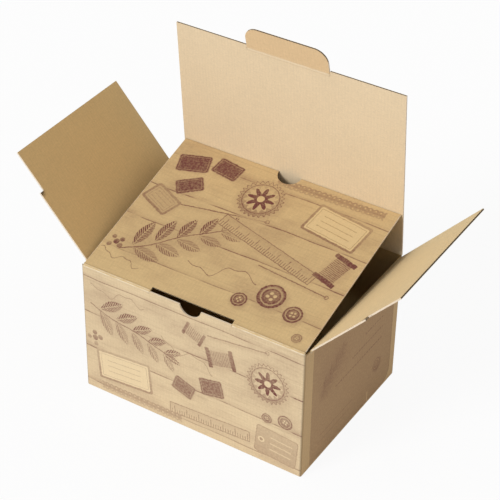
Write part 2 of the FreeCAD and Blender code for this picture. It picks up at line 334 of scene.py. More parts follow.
def barsShape(tree, source, local):
    # a row of bars that stand on the lower edge, every fifth one tall
    x, y = splitVector(tree, local, 2)
    halfX, halfY = splitVector(tree, source["Half Size"], 2)
    number = calc(tree, "FLOOR", calc(tree, "DIVIDE", x, source["Pitch"]))
    middle = plus(tree, number, 0.5)
    fromBar = absolute(tree, minus(tree, x, times(tree, middle, source["Pitch"])))
    tall = isBelow(tree, calc(tree, "FRACT", calc(tree, "DIVIDE", middle, 5.0)), 0.2)
    height = times(tree, halfY, 2.0, mixFloat(tree, tall, source["Short"], 1.0))
    up = plus(tree, y, halfY)
    return highest(tree, minus(tree, fromBar, times(tree, source["Bar"], 0.5)),
                   minus(tree, absolute(tree, x), halfX), minus(tree, up, height), times(tree, up, -1.0))


def threadShape(tree, source, local):
    # a loose thread that wanders to both sides of its line
    x, y = splitVector(tree, local, 2)
    phase = calc(tree, "DIVIDE", times(tree, x, 2 * math.pi), source["Wave"])
    fast = calc(tree, "SINE", calc(tree, "MULTIPLY_ADD", phase, 2.3, 1.0))
    path = times(tree, plus(tree, calc(tree, "SINE", phase), times(tree, fast, 0.4)), source["Sway"])
    aside = minus(tree, absolute(tree, minus(tree, y, path)), times(tree, source["Line"], 0.5))
    return highest(tree, aside, minus(tree, absolute(tree, x), source["Half Length"]))


def laceShape(tree, source, local):
    # a band with scalloped edges and two rows of holes
    scallop, holeRadius = 0.16, 0.85
    x, y = splitVector(tree, local, 2)
    halfX, halfY = splitVector(tree, source["Half Size"], 2)
    halfPitch = times(tree, source["Pitch"], 0.5)
    fromHole = minus(tree, halfPitch, calc(tree, "PINGPONG", x, halfPitch))
    side = absolute(tree, y)
    edge = minus(tree, side, plus(tree, halfY, times(tree, fromHole, fromHole, -scallop)))
    rowGap = minus(tree, side, times(tree, halfY, 0.5))
    hole = minus(tree, holeRadius, calcVector(tree, "LENGTH", joinVector(tree, fromHole, rowGap)))
    return highest(tree, edge, hole, minus(tree, absolute(tree, x), halfX))


kraftPaper = makeKraftPaper(kraftLook)
stampGroups = {}
for kind, shape, inputs in (
        ("block", blockShape, {"Half Size": noPlace, "Corner": 1.0, "Line": solid}),
        ("round", roundShape, {"Radius": 10.0, "Rays": 0.0, "Ray Depth": 0.0, "Line": solid}),
        ("leaf", leafShape, {"Half Length": 10.0, "Half Width": 3.0, "Vein": 0.35}),
        ("bars", barsShape, {"Half Size": noPlace, "Pitch": 3.0, "Bar": 0.6, "Short": 0.55}),
        ("thread", threadShape, {"Half Length": 30.0, "Sway": 5.0, "Wave": 40.0, "Line": 0.8}),
        ("lace", laceShape, {"Half Size": noPlace, "Pitch": 6.0})):
    stampGroups[kind] = makeStamp(kind + "Stamp", inputs, shape)
print("kraft paper and stamps ready")


# Motifs: each returns the stamps that make it. Strength 1 is solid ink, below 0 is paler than the sheet.
def stamp(kind, u, v, turn=0, strength=1.0, **sizes):
    inputs = {"Centre": (u, v, 0.0), "Turn": (0.0, 0.0, math.radians(turn)), "Strength": strength}
    labels = {"half": "Half Size", "rayDepth": "Ray Depth", "length": "Half Length", "width": "Half Width"}
    for name, value in sizes.items():
        inputs[labels.get(name, name.capitalize())] = value + (0.0,) if isinstance(value, tuple) else value
    return kind, inputs


def around(u, v, distance, turn):
    angle = math.radians(turn)
    return u + distance * math.cos(angle), v + distance * math.sin(angle)


def castShade(u, v, half, turn, strength=0.24, soft=8.0):
    # the soft shade beside a thing that lies on the boards
    return stamp("block", u + 1.4, v - 2.0, turn, strength, half=half, corner=min(half), soft=soft)


def button(u, v, radius, strength, turn=20, ground=0.0):
    # ground is the ink that lies under a motif, so that its soft shade never gets paler than that
    parts = [stamp("round", u + radius * 0.14, v - radius * 0.2, 0, ground + strength * 0.36,
                   radius=radius * 1.12, soft=radius * 0.6),
             stamp("round", u, v, 0, strength * 0.8, radius=radius, shade=-0.2 / radius)]
    for size, line, share in ((1.0, 0.14, 1.0), (0.78, 0.1, 0.42), (0.64, 0.1, 1.0)):
        parts.append(stamp("round", u, v, 0, strength * share, radius=radius * size, line=radius * line))
    for quarter in range(4):
        x, y = around(u, v, radius * 0.26, turn + 90 * quarter)
        parts.append(stamp("round", x, y, 0, ground + 0.08, radius=radius * 0.12))
    return parts


def sprig(u, v, length, turn, leaves, strength, ground=0.0):
    halo = length * 0.13
    parts = [stamp("block", u, v, turn, ground + strength * 0.3, half=(length * 0.46, halo), corner=halo,
                   soft=length * 0.2),
             stamp("thread", u, v, turn, strength * 0.95, length=length / 2, sway=length * 0.02,
                   wave=length * 1.3, line=1.0)]
    for pair in range(leaves):
        share = (pair + 0.6) / leaves
        leafLength = length * (0.17 - 0.06 * share)
        rootX, rootY = around(u, v, length * (share - 0.5), turn)
        for side in (-1, 1):
            leafTurn = turn + side * (48 - 10 * share)
            x, y = around(rootX, rootY, leafLength * 1.05, leafTurn)
            parts.append(stamp("leaf", x, y, leafTurn, strength * (0.86 + 0.14 * side), shade=0.02 * side,
                               length=leafLength, width=leafLength * 0.38))
    x, y = around(u, v, length * 0.54, turn)
    parts.append(stamp("leaf", x, y, turn, strength, length=length * 0.1, width=length * 0.035))
    return parts


def rosette(u, v, radius, strength):
    petals = {"radius": radius, "rays": 28, "rayDepth": radius * 0.12}
    return [stamp("round", u + 1.6, v - 2.4, 0, strength * 0.36, radius=radius * 1.08, soft=radius * 0.35),
            stamp("round", u, v, 0, strength * 0.5, shade=-0.2 / radius, **petals),
            stamp("round", u, v, 0, strength, line=0.9, **petals),
            stamp("round", u, v, 0, strength, radius=radius * 0.8, line=0.9),
            stamp("round", u, v, 0, strength * 0.2, radius=radius * 0.72, rays=16, rayDepth=radius * 0.16),
            stamp("round", u, v, 0, strength * 1.15, radius=radius * 0.62, rays=8, rayDepth=radius * 0.34,
                  shade=-0.2 / radius),
            stamp("round", u, v, 0, 0.0, radius=radius * 0.16)]


def ruler(u, v, length, turn, strength, width=13.0):
    half = (length / 2, width / 2)
    x, y = around(u, v, -width * 0.12, turn + 90)
    return [castShade(u, v, half, turn),
            stamp("block", u, v, turn, strength * 0.32, half=half, corner=0.6, shade=0.012),
            stamp("block", u, v, turn, strength, half=half, corner=0.6, line=0.8),
            stamp("bars", x, y, turn, strength, half=(length / 2 - 2, width * 0.34), pitch=2.8, bar=0.8)]


def inset(half, by):
    return half[0] - by, half[1] - by


def blankCard(u, v, half, turn, strength=0.75, pale=-0.2):
    parts = [castShade(u, v, half, turn, 0.3),
             stamp("block", u, v, turn, strength * 0.8, half=half, corner=2.6, shade=-0.006),
             stamp("block", u, v, turn, pale, half=inset(half, 2.6), corner=1.4),
             stamp("block", u, v, turn, strength * 0.7, half=inset(half, 4.4), corner=1.2, line=0.6)]
    for row in (-0.36, 0.0, 0.36):
        x, y = around(u, v, half[1] * row, turn + 90)
        parts.append(stamp("block", x, y, turn, strength * 0.6, half=(half[0] * 0.62, 0.4), corner=0.1))
    return parts


def tag(u, v, half, turn, strength):
    # a tinted label with an eyelet at one end
    x, y = around(u, v, half[0] * 0.72, turn + 180)
    parts = [castShade(u, v, half, turn, 0.26),
             stamp("block", u, v, turn, strength * 0.62, half=half, corner=3.4, shade=-0.004),
             stamp("block", u, v, turn, strength, half=half, corner=3.4, line=0.7),
             stamp("round", x, y, 0, -0.1, radius=3.4),
             stamp("round", x, y, 0, strength, radius=1.9)]
    for row in (-0.44, 0.0, 0.44):
        x, y = around(u, v, half[1] * row, turn + 90)
        x, y = around(x, y, half[0] * 0.22, turn)
        parts.append(stamp("block", x, y, turn, strength * 0.16, half=(half[0] * 0.52, 0.7), corner=0.2))
    return parts


def spool(u, v, width, turn, strength):
    half = (width * 0.5, width * 0.36)
    parts = [castShade(u, v, (width * 0.66, width * 0.5), turn, 0.28),
             stamp("block", u, v, turn, strength * 0.45, half=half, corner=1.0, shade=-0.3 / width),
             stamp("bars", u, v, turn, strength * 0.9, half=half, pitch=1.9, bar=0.7, short=1.0)]
    for side in (-1, 1):
        x, y = around(u, v, side * width * 0.58, turn)
        parts.append(stamp("block", x, y, turn, strength, half=(width * 0.1, width * 0.5), corner=0.8,
                           shade=-0.2 / width))
    return parts


def clothPatch(u, v, half, turn, strength=0.98):
    # a swatch with a sewn line just inside its frayed edge
    return [castShade(u, v, half, turn, 0.3, 5.0),
            stamp("block", u, v, turn, strength, half=half, corner=2.4, soft=1.2),
            stamp("block", u, v, turn, strength * 0.62, half=inset(half, 1.9), corner=1.6, line=0.6)]


def lace(u, v, length, turn, width, strength):
    half = (length / 2, width / 2)
    return [castShade(u, v, half, turn, 0.16, 6.0),
            stamp("lace", u, v, turn, strength, half=half, pitch=5.6, shade=0.02),
            stamp("block", u, v, turn, strength * 1.25, half=(length / 2, 0.5), corner=0.2)]


def thread(u, v, length, turn, sway, wave, strength=0.85):
    return [stamp("thread", u, v, turn, strength, length=length / 2, sway=sway, wave=wave, line=0.9)]


def needle(u, v, length, turn, strength=0.85):
    x, y = around(u, v, length / 2, turn)
    return [castShade(u, v, (length / 2, 1.6), turn, 0.26, 4.0),
            stamp("block", u, v, turn, strength, half=(length / 2, 0.6), corner=0.4, shade=-0.2),
            stamp("round", x, y, 0, strength, radius=2.4, line=0.9)]


def berries(u, v, turn, strength=0.9):
    parts = []
    for number, (distance, angle, radius) in enumerate(((0.0, 0, 3.2), (6.2, 25, 2.7), (6.6, -48, 2.9),
                                                        (7.0, 118, 2.4), (7.4, 205, 2.6))):
        x, y = around(u, v, distance, turn + angle)
        parts.append(stamp("round", x, y, 0, strength - 0.06 * number, radius=radius, shade=-0.04))
    return parts


# The print, laid out on the flat sheet: u runs round the tube from the middle of the front panel,
# and v runs up the panels and on over the crease into the front flap.
creaseHeight = hinges["front_flap"].z / millimetre
sideMiddle = bodyHigh.x + (bodyHigh.y - bodyLow.y) / 2
printLook = {
    "ink": tone(112, 66, 60),
    "pale": tone(236, 212, 168),
    "plankWidth": 43.0,
    "plankStart": 30.0,
    "seam": 0.9,
    "seamSway": 7.0,
    "seamShade": 6.0,      # how far above its seam a plank is darker
    "sheetInk": 0.04,
    "clouds": 0.24,
    "blotch": 0.2,
    "speckle": 0.3,
}
lidDrop = -190.0           # the back of the sheet lies below zero, because its print is turned round
sideField = {"middle": sideMiddle + 2.5, "halfWidth": 78.6, "bottom": 3.0, "onFlap": 108.0,
             "corner": 15.0, "ink": 0.37}


def layOut(motifs, up=0.0):
    return [(kind, {**inputs, "Centre": (inputs["Centre"][0], inputs["Centre"][1] + up, 0.0)})
            for stamps in motifs for kind, inputs in stamps]


flapPrint = layOut([
    lace(52, 173, 118, 1.5, 10, 0.5),
    needle(-40, 112, 104, 10),
    sprig(-60, 64, 108, 36, 5, 1.0),
    clothPatch(-96, 157, (17, 11), 16),
    clothPatch(-60, 164, (15, 10), -8),
    clothPatch(-84, 130, (14, 9), 34, 0.95),
    rosette(-10, 144, 24, 0.9),
    blankCard(76, 142, (31, 18), -8),
    ruler(28, 92, 122, -14, 0.85, 15.0),
    spool(100, 96, 26, 74, 1.0),
    button(62, 44, 14, 1.0),
    button(91, 34, 9.5, 1.0, 50),
    button(36, 28, 8, 1.0, 5),
    needle(70, 68, 78, -5, 0.8),
    thread(4, 50, 74, 12, 6, 52),
    blankCard(-100, 103, (19, 12), -24, 0.8, 0.3),
    berries(-110, 38, 20),
    thread(-96, 22, 50, -6, 3, 28, 0.7),
    button(108, 12, 5, 0.9, 30),
], creaseHeight)
panelPrint = layOut([
    sprig(-70, 94, 96, -17, 5, 0.85),
    blankCard(-78, 38, (32, 18), 5, 0.62),
    spool(34, 104, 23, 14, 0.8),
    spool(4, 121, 17, -24, 0.72),
    thread(-4, 92, 62, -12, 5, 44, 0.6),
    rosette(86, 98, 23, 0.8),
    clothPatch(24, 64, (13, 10), 12, 0.8),
    clothPatch(-8, 50, (12, 9), -20, 0.75),
    ruler(22, 21, 92, 3, 0.66),
    tag(97, 26, (23, 17), -5, 0.6),
    button(106, 60, 8, 0.8),
    button(86, 56, 5.5, 0.8, 60),
    berries(-112, 66, 70, 0.7),
    lace(-58, 9, 96, 0, 9, 0.45),
    needle(52, 130, 66, 7, 0.6),
    thread(-84, 128, 62, 3, 4, 38, 0.55),
])
fieldTop = creaseHeight + sideField["onFlap"]
fieldMiddle = (sideField["bottom"] + fieldTop) / 2
fieldHalf = (sideField["halfWidth"], (fieldTop - sideField["bottom"]) / 2)
sideEdge = sideField["middle"] - sideField["halfWidth"]
fieldInk = sideField["ink"]
fieldPrint = [stamp("block", sideField["middle"], fieldMiddle, strength=strength, half=fieldHalf,
                    corner=sideField["corner"], line=line, soft=soft)
              for strength, line, soft in ((fieldInk, solid, 1.0), (fieldInk + 0.2, 1.0, 1.4))]
# the field's near end has square corners, and a soft blot, two rules and a pale mark lie on it
fieldMarks = [stamp("block", sideEdge + u, v, turn, strength, half=half, corner=corner, soft=soft)
              for u, v, turn, strength, half, corner, soft in (
                  (40, fieldMiddle, 0, fieldInk, (40, fieldHalf[1]), 0.6, 1.0),
                  (40, 96, 20, fieldInk + 0.08, (24, 20), 18, 26.0),
                  (49, 28, 0, fieldInk + 0.17, (31, 0.5), 0.2, inkEdge),
                  (46, 20, 0, fieldInk + 0.14, (32, 0.5), 0.2, inkEdge),
                  (112, 8.5, 0, -0.1, (0.8, 6.0), 0.3, 1.4))]
fieldDashes = [stamp("bars", sideEdge + 136 - reach, v, strength=fieldInk + 0.3, half=(reach, 0.75),
                     pitch=4.6, bar=3.2, short=1.0) for v, reach in ((70, 46), (83, 30), (96, 18))]
sidePrint = layOut([
    fieldPrint,
    fieldMarks,
    fieldDashes,
    sprig(sideEdge + 38, 92, 54, 38, 4, 0.6, fieldInk),
    button(sideEdge + 128, 40, 7, 0.66, 20, fieldInk),
])
sideFlapPrint = layOut([
    fieldPrint,
    sprig(sideField["middle"] + 22, creaseHeight + 54, 66, 152, 4, 0.6, fieldInk),
    button(sideField["middle"] - 44, creaseHeight + 42, 9, 0.66, 20, fieldInk),
    button(sideField["middle"] - 26, creaseHeight + 62, 6, 0.66, 50, fieldInk),
])
lidPrint = layOut([
    sprig(58, 58, 100, 26, 5, 0.9),
    rosette(-72, 118, 24, 0.85),
    ruler(-40, 60, 110, -16, 0.75),
    clothPatch(92, 130, (17, 11), 12, 0.9),
    clothPatch(62, 150, (14, 9), -16, 0.85),
    spool(2, 132, 24, 30, 0.9),
    lace(-64, 20, 100, -2, 10, 0.45),
    thread(20, 98, 80, -10, 6, 50, 0.7),
], lidDrop)


def makePrintedSheet(look):
    # puts ink on kraft, speckled like a coarse print and worn in blotches
    tree, source, target = newGroup("printedSheet",
                                    {"Vector": noPlace, "Kraft": plainWhite, "Ink": 0.0, "Fade": 0.0},
                                    {"Colour": "Color"})
    place = source["Vector"]
    blotches = noise(tree, place, 0.09, 3, 0.6)
    speckles = ramp(tree, noise(tree, place, 0.42, 2, 0.7), 0.3, 0.7)
    wear = 1.0 + look["blotch"] * 0.5 + look["speckle"] * 0.25
    for value, depth in ((blotches, look["blotch"]), (speckles, look["speckle"])):
        wear = minus(tree, wear, times(tree, value, depth))
    wear = times(tree, wear, minus(tree, 1.0, source["Fade"]))
    amount = calc(tree, "MULTIPLY", highest(tree, source["Ink"], 0.0), wear, clamp=True)
    paleness = calc(tree, "MULTIPLY", calc(tree, "MINIMUM", source["Ink"], 0.0), -1.0, clamp=True)
    colour = mixColour(tree, paleness, source["Kraft"], look["pale"])
    tree.links.new(mixColour(tree, amount, colour, look["ink"]), target["Colour"])
    return tree


def makePlankSeams(look):
    # the ground of the print: boards that lie along u, with seams, grain and a tone of their own
    tree, source, target = newGroup("plankSeams", {"Vector": noPlace}, {"Ink": "Float"})
    u, v = splitVector(tree, source["Vector"], 2)
    bend = times(tree, noise(tree, joinVector(tree, times(tree, u, 0.012)), 1.0, 1), look["seamSway"])
    plank = calc(tree, "DIVIDE", plus(tree, v, look["plankStart"], bend), look["plankWidth"])
    number = calc(tree, "FLOOR", plank)
    fromSeam = times(tree, calc(tree, "PINGPONG", plank, 0.5), look["plankWidth"])
    overSeam = times(tree, calc(tree, "FRACT", plank), look["plankWidth"])
    seam = ramp(tree, fromSeam, look["seam"], look["seam"] * 0.4)
    beside = ramp(tree, overSeam, look["seamShade"], 0.0)
    shade = addNode(tree, "ShaderNodeTexWhiteNoise", {"W": number}, noise_dimensions="1D").outputs[0]
    grainPlace = joinVector(tree, times(tree, u, 0.016), times(tree, v, 0.5), number)
    grain = ramp(tree, noise(tree, grainPlace, 1.0, 3, 0.6), 0.45, 0.8)
    broken = ramp(tree, noise(tree, stretched(tree, source["Vector"], (0.03, 0.2, 1.0)), 1.0, 1), 0.3, 0.5)
    clouds = noise(tree, stretched(tree, source["Vector"], (0.016, 0.03, 1.0)), 1.0, 4, 0.6)
    ink = times(tree, seam, broken, calc(tree, "MULTIPLY_ADD", shade, 0.36, 0.3))
    for value, share in ((beside, 0.12), (shade, 0.07), (grain, 0.15),
                         (ramp(tree, clouds, 0.4, 0.74), look["clouds"])):
        ink = calc(tree, "MULTIPLY_ADD", value, share, ink)
    tree.links.new(plus(tree, ink, look["sheetInk"]), target["Ink"])
    return tree


plankSeams = makePlankSeams(printLook)
printedSheet = makePrintedSheet(printLook)


def printStamps(tree, place, ink, stamps):
    # one wobble for all of them keeps the edges from looking ruled
    wobble = addNode(tree, "ShaderNodeTexNoise", {"Vector": place, "Scale": 0.35, "Detail": 2.0})
    shift = calcVector(tree, "SUBTRACT", wobble.outputs[1], (0.5, 0.5, 0.5))
    shaken = calcVector(tree, "ADD", place, calcVector(tree, "MULTIPLY", shift, (1.6, 1.6, 0.0)))
    for kind, inputs in stamps:
        printed = useGroup(tree, stampGroups[kind], {"Ink": ink, "Vector": shaken, **inputs})
        ink, shaken = printed["Ink"], printed["Vector"]
    return ink


# The cut edge of the board, seen between its two liners.
edgeLook = {
    "colour": tone(176, 158, 132),
    # painted shade: for the flute hollows, the crumpled step and the upright corner folds
    "paintedShade": tone(84, 68, 50),
    "side": tone(232, 214, 190),        # along the flutes the cut shows torn white fibre; the same colour is the painted highlight on the slot's edge and the bottom folds
    "fluteLine": (0.15, 0.5),           # where the flute's own thickness ends and its hollow takes painted shade
}


def makeCutEdge(look):
    # distance is from the middle of the board, along runs with the edge
    tree, source, target = newGroup("cutEdge",
                                    {"Distance": 0.0, "Along": 0.0, "From Crease": 0.0, "Side": 0.0,
                                     "Colour": plainWhite},
                                    {"Colour": "Color"})
    fluteHeight = halfBoard - board["liner"]
    away = absolute(tree, source["Distance"])
    uncrushed = isAbove(tree, source["From Crease"], board["creaseReach"] + 0.2)
    mask = times(tree, ramp(tree, away, halfBoard - skinDepth, fluteHeight), uncrushed)
    turned = times(tree, source["Along"], 2 * math.pi / board["flutePitch"])
    wave = times(tree, calc(tree, "SINE", turned), fluteHeight)
    # painted shade: the flute hollows on the flat cut face are painted dark
    hollow = ramp(tree, absolute(tree, minus(tree, source["Distance"], wave)), *look["fluteLine"])
    inside = mixColour(tree, hollow, look["colour"], look["paintedShade"])
    colour = mixColour(tree, mask, source["Colour"], inside)
    fibrePlace = joinVector(tree, times(tree, source["From Crease"], 0.35), source["Distance"])
    torn = times(tree, source["Side"], ramp(tree, noise(tree, fibrePlace, 1.0, 3, 0.7), 0.2, 0.5))
    tree.links.new(mixColour(tree, torn, colour, look["side"]), target["Colour"])
    return tree


cutEdge = makeCutEdge(edgeLook)


def newMaterial(name):
    material = bpy.data.materials.new(name)
    material.use_nodes = True
    tree = material.node_tree
    tree.nodes.clear()
    output = tree.nodes.new("ShaderNodeOutputMaterial")
    shader = tree.nodes.new("ShaderNodeBsdfPrincipled")
    tree.links.new(shader.outputs[0], output.inputs[0])
    return material, tree, shader


boardFinish = {"roughness": 0.86, "specular": 0.25, "bumpHeight": 0.0002}


def finishBoard(tree, shader, colour, height, strength=0.12):
    tree.links.new(colour, shader.inputs["Base Color"])
    shader.inputs["Roughness"].default_value = boardFinish["roughness"]
    shader.inputs["Specular IOR Level"].default_value = boardFinish["specular"]
    inputs = {"Height": height, "Strength": strength, "Distance": boardFinish["bumpHeight"]}
    tree.links.new(addNode(tree, "ShaderNodeBump", inputs).outputs[0], shader.inputs["Normal"])


def objectPlace(tree):
    return addNode(tree, "ShaderNodeTexCoord").outputs["Object"]


def flapPlace(tree, node):
    # the flap's own space in millimetres: its crease at zero, its faces at plus and minus half a board
    return addNode(tree, "ShaderNodeMapping",
                   {"Vector": objectPlace(tree), "Location": tuple(hinges[node]),
                    "Rotation": flapTurns[node], "Scale": (millimetre,) * 3},
                   vector_type="TEXTURE").outputs[0]


foldHighlightAndShade = {
    "low": 1.5,            # how far up the painted highlight on the bottom folds reaches, and how far in the painted shade of the upright ones
    "corner": 2.4,
    # strength of the painted highlight on the bottom folds
    "pale": 0.7,
    # strength of the painted shade in the upright corner folds
    "paintedShade": 0.45,
}
# Kraft tone of each piece. The same liner is painted darker and warmer as shade where a piece lies away
# from the light: the tube's inside, the side panels, the left flap and the tab.
kraftAndShadeTones = {
    "box_body": tone(220, 197, 159),
    "box_sides": tone(207, 174, 129),
    "box_inside": tone(184, 156, 106),
    "front_flap": tone(212, 182, 132),
    "lid": tone(224, 202, 168),
    "tuck_tab": tone(222, 192, 150),
    "right_flap": tone(224, 198, 152),
    "left_flap": tone(220, 184, 128),
}
rubbedReach = 26.0         # millimetres from its crease over which a flap's print is rubbed


# Each flap on the flat sheet: the axis of its crease, its outer face, the start and way of u and v.
lidStart = creaseHeight - hinges["lid"].z / millimetre
tabStart = lidStart - (hinges["tuck_tab"] - hinges["lid"]).length / millimetre
sideStart = hinges["right_flap"].z / millimetre
flapSheets = {
    "front_flap": {"axis": 0, "face": 1, "tone": "front_flap", "u": (0.0, 1), "v": (creaseHeight, 1),
                   "fade": 0.35, "stamps": flapPrint},
    "lid": {"axis": 0, "face": -1, "tone": "box_body", "u": (0.0, 1), "v": (lidStart, -1),
            "fade": 0.1, "stamps": lidPrint},
    "tuck_tab": {"axis": 0, "face": -1, "tone": "box_body", "u": (0.0, 1), "v": (tabStart, -1),
                 "fade": 0.0, "stamps": []},
    "right_flap": {"axis": 1, "face": -1, "tone": "box_sides", "u": (bodyHigh.x - bodyLow.y, 1),
                   "v": (sideStart, 1), "fade": 0.1, "stamps": sideFlapPrint},
    "left_flap": {"axis": 1, "face": 1, "tone": "box_sides",
                  "u": (2 * sideMiddle + bodyLow.x + bodyLow.y, -1), "v": (sideStart, 1),
                  "fade": 0.1, "stamps": sideFlapPrint},
}


def printFlap(tree, node, across, along, kraft, stamps, fade):
    # the outside of the sheet where that flap or its crease is
    sheet = flapSheets[node]
    layout = joinVector(tree, calc(tree, "MULTIPLY_ADD", across, sheet["u"][1], sheet["u"][0]),
                        calc(tree, "MULTIPLY_ADD", along, sheet["v"][1], sheet["v"][0]))
    ink = 0.0
    if sheet["tone"] != "box_sides":
        ink = useGroup(tree, plankSeams, {"Vector": layout})["Ink"]
    if stamps:
        ink = printStamps(tree, layout, ink, stamps)
    inputs = {"Vector": layout, "Kraft": kraft, "Ink": ink, "Fade": fade}
    return useGroup(tree, printedSheet, inputs)["Colour"]


def flapBoard(node, sheet):
    # a flap with plain kraft on its inside and the print on its outside
    material, tree, shader = newMaterial(node + "_board")
    place = flapPlace(tree, node)
    x, y, away = splitVector(tree, place)
    across, along = (y, x) if sheet["axis"] else (x, y)
    onFace = isAbove(tree, times(tree, away, sheet["face"]), halfBoard - skinDepth)
    # the inside takes the piece's kraft tone, with the painted shade of the left flap and the tab
    kraft = mixColour(tree, onFace, kraftAndShadeTones[node], kraftAndShadeTones[sheet["tone"]])
    paper = useGroup(tree, kraftPaper, {"Vector": joinVector(tree, across, along, away), "Colour": kraft})
    rubbed = times(tree, ramp(tree, along, rubbedReach, 0.0), sheet["fade"])
    printed = printFlap(tree, node, across, along, paper["Colour"], sheet["stamps"], rubbed)
    colour = mixColour(tree, onFace, paper["Colour"], printed)
    # the two edges that run out from the crease, with the step in the side flaps' front one
    low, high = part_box(node)
    halfWidth = (high - low)[sheet["axis"]] / 2 / millimetre - 0.2
    step = board["sideStep"] if sheet["axis"] else 0.0
    beyondStep = isAbove(tree, along, board["sideStepStart"] + 0.1)
    frontReach = calc(tree, "MULTIPLY_ADD", beyondStep, step, times(tree, across, -1.0))
    side = isAbove(tree, highest(tree, frontReach, across), halfWidth)
    if step:
        # painted shade: the crumpled corner of the step is darkened in patches, for the shade in its
        # crumples
        fromStep = calcVector(tree, "DISTANCE", joinVector(tree, across, along),
                              (-halfWidth, board["sideStepStart"], 0.0))
        crumple = times(tree, ramp(tree, fromStep, 7.0, 2.0),
                        ramp(tree, noise(tree, place, 0.5, 3, 0.7), 0.36, 0.5))
        colour = mixColour(tree, crumple, colour, edgeLook["paintedShade"])
    edge = useGroup(tree, cutEdge, {"Distance": away, "Along": across, "From Crease": along, "Side": side,
                                    "Colour": colour})
    finishBoard(tree, shader, edge["Colour"], paper["Height"])
    return material


def bodyBoard():
    # the tube: its four outsides carry the print, its inside is plain
    material, tree, shader = newMaterial("box_body_board")
    place = calcVector(tree, "MULTIPLY", objectPlace(tree), (1 / millimetre,) * 3)
    x, y, z = splitVector(tree, place)
    skin = board["liner"] + 0.45
    wall = board["thickness"] + 0.2
    onFront = isBelow(tree, y, bodyLow.y + skin)
    onBack = isAbove(tree, y, bodyHigh.y - skin)
    onSides = highest(tree, isAbove(tree, x, bodyHigh.x - skin), isBelow(tree, x, bodyLow.x + skin))
    upright = highest(tree, onFront, onBack, onSides)
    deep = minus(tree, y, bodyLow.y)
    # both side panels carry the same print, and the back panel has the front one's turned round
    u = x
    for mask, run in ((isAbove(tree, x, bodyHigh.x - wall), plus(tree, deep, bodyHigh.x)),
                      (isBelow(tree, x, bodyLow.x + wall), minus(tree, 2 * sideMiddle + bodyLow.x, deep)),
                      (onBack, x),
                      (onFront, x)):
        u = mixFloat(tree, mask, u, run)
    onBottom = isAbove(tree, minus(tree, board["thickness"] + wall, z), times(tree, upright, creaseHeight))
    v = mixFloat(tree, onBack, z, minus(tree, creaseHeight, z))
    v = mixFloat(tree, onBottom, v, times(tree, deep, -1.0))
    layout = joinVector(tree, u, v)
    outside = highest(tree, upright, isBelow(tree, z, skin))
    # the side panels and the inside of the tube take kraft tones painted darker as shade
    kraft = mixColour(tree, onSides, kraftAndShadeTones["box_body"], kraftAndShadeTones["box_sides"])
    kraft = mixColour(tree, outside, kraftAndShadeTones["box_inside"], kraft)
    paper = useGroup(tree, kraftPaper, {"Vector": layout, "Colour": kraft})
    ink = mixFloat(tree, onSides, useGroup(tree, plankSeams, {"Vector": layout})["Ink"], 0.0)
    ink = printStamps(tree, layout, ink, panelPrint + sidePrint)
    covered = useGroup(tree, printedSheet, {"Vector": layout, "Kraft": paper["Colour"], "Ink": ink})
    colour = mixColour(tree, outside, paper["Colour"], covered["Colour"])

    # cut edge of the front panel at the slot and the thumb notch, between its two faces: the torn fibre's
    # own pale colour, which also stands as a painted highlight on that rim
    bare = board["liner"] * 0.4
    cut = times(tree, isAbove(tree, deep, bare), isBelow(tree, deep, board["thickness"] - bare),
                isAbove(tree, z, creaseHeight - board["notchDepth"]),
                isBelow(tree, absolute(tree, x), board["slotWidth"] / 2))
    colour = mixColour(tree, cut, colour, edgeLook["side"])

    # painted highlight: the bottom folds are lightened in patches, partly as rubbing, and painted shade
    # darkens the upright corner folds a little
    patches = noise(tree, calcVector(tree, "MULTIPLY", place, (0.07, 0.07, 0.3)), 1.0, 2, 0.6)
    rubbed = times(tree, ramp(tree, z, foldHighlightAndShade["low"], foldHighlightAndShade["low"] * 0.4),
                   ramp(tree, patches, 0.3, 0.5), outside, foldHighlightAndShade["pale"])
    colour = mixColour(tree, rubbed, colour, edgeLook["side"])
    # painted shade in the upright corner folds
    paintedCornerShade = foldHighlightAndShade["paintedShade"]
    for value, end in ((x, bodyHigh.x), (y, bodyHigh.y)):
        nearEnd = ramp(tree, absolute(tree, value), end - foldHighlightAndShade["corner"], end - 0.6)
        paintedCornerShade = times(tree, nearEnd, paintedCornerShade)
    colour = mixColour(tree, paintedCornerShade, colour, edgeLook["paintedShade"])
    finishBoard(tree, shader, colour, paper["Height"])
    return material


def dress(node, material):
    nodeObject = frame["nodes"][node]
    nodeObject.data.materials.clear()
    nodeObject.data.materials.append(material)


dress("box_body", bodyBoard())
for node, sheet in flapSheets.items():
    dress(node, flapBoard(node, sheet))
print("board dressed")


# The creases: crushed board that bridges each hinge line, built in the pose the flaps stand in.
creaseLook = {
    "reach": 2.45,         # millimetres to each side of the hinge line, just onto the full board
    "shoulder": 0.9,
    "shoulderHeight": 0.74,
    "roundHeight": 0.66,
    "hollow": 0.42,
    "cornerSteps": 5,
    "pitch": 3.0,
    "crumple": 0.07,
    "bendReach": 1.2,
    "worn": tone(238, 226, 204),
    "bump": 0.3,
}
# past is how far the fold goes on beyond the flap's ends
creaseFolds = {
    "front_flap": {"pieces": ("front_crease_left", "front_crease_right"), "panel": "box_body",
                   "past": 0.3, "seed": 11, "worn": 0.65},
    "lid": {"pieces": ("lid_crease_fold",), "panel": "box_body",
            "past": -0.05, "seed": 12, "worn": 0.2},
    "tuck_tab": {"pieces": ("tab_crease_fold",), "panel": "lid",
                 "past": 0.3, "seed": 13, "worn": 0.25},
    "right_flap": {"pieces": ("right_flap_fold",), "panel": "box_body",
                   "past": 0.3, "seed": 14, "worn": 0.15},
    "left_flap": {"pieces": ("left_flap_fold",), "panel": "box_body",
                  "past": 0.3, "seed": 15, "worn": 0.15},
}


def squareTo(way, other):
    # square to way, on the round side of the bend between the two
    return (way * other.dot(way) - other).normalized()


